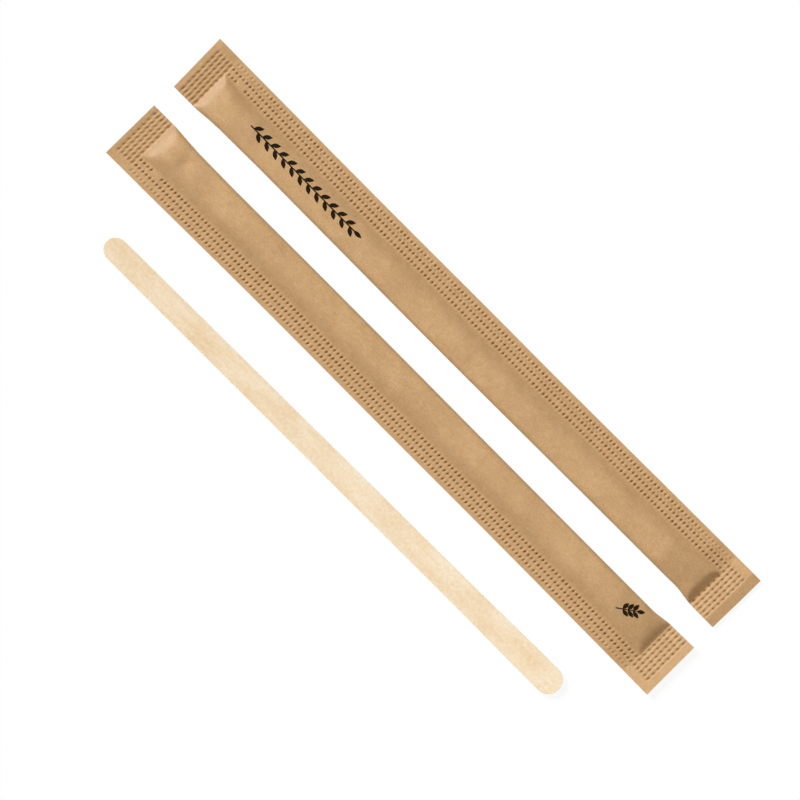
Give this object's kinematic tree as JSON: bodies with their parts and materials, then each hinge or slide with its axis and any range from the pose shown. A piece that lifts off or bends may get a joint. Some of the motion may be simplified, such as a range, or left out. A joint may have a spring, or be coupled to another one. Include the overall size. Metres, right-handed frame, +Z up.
{
  "type": "pack of wooden drink stirrers",
  "caption": "Flat birch drink stirrers, wrapped singly in slim kraft-paper sachets with embossed side and end seals, with one bare round-ended stirrer beside them.",
  "frame": {"origin": "middle of the pack's footprint, on the table it lies on", "axes": "+X along the sachets and the stirrer, towards the ends with the wide plain margin; +Y across the pack, from the bare stirrer to the sachet that lies front up; +Z up"},
  "size_m": [0.1682, 0.052, 0.002],
  "materials": {
    "kraft_paper": "uncoated brown kraft paper",
    "birch": "sanded raw birch"
  },
  "bodies": {
    "root": {"sachet_front_up": "kraft_paper", "sachet_back_up": "kraft_paper", "bare_stirrer": "birch"}
  },
  "joints": []
}
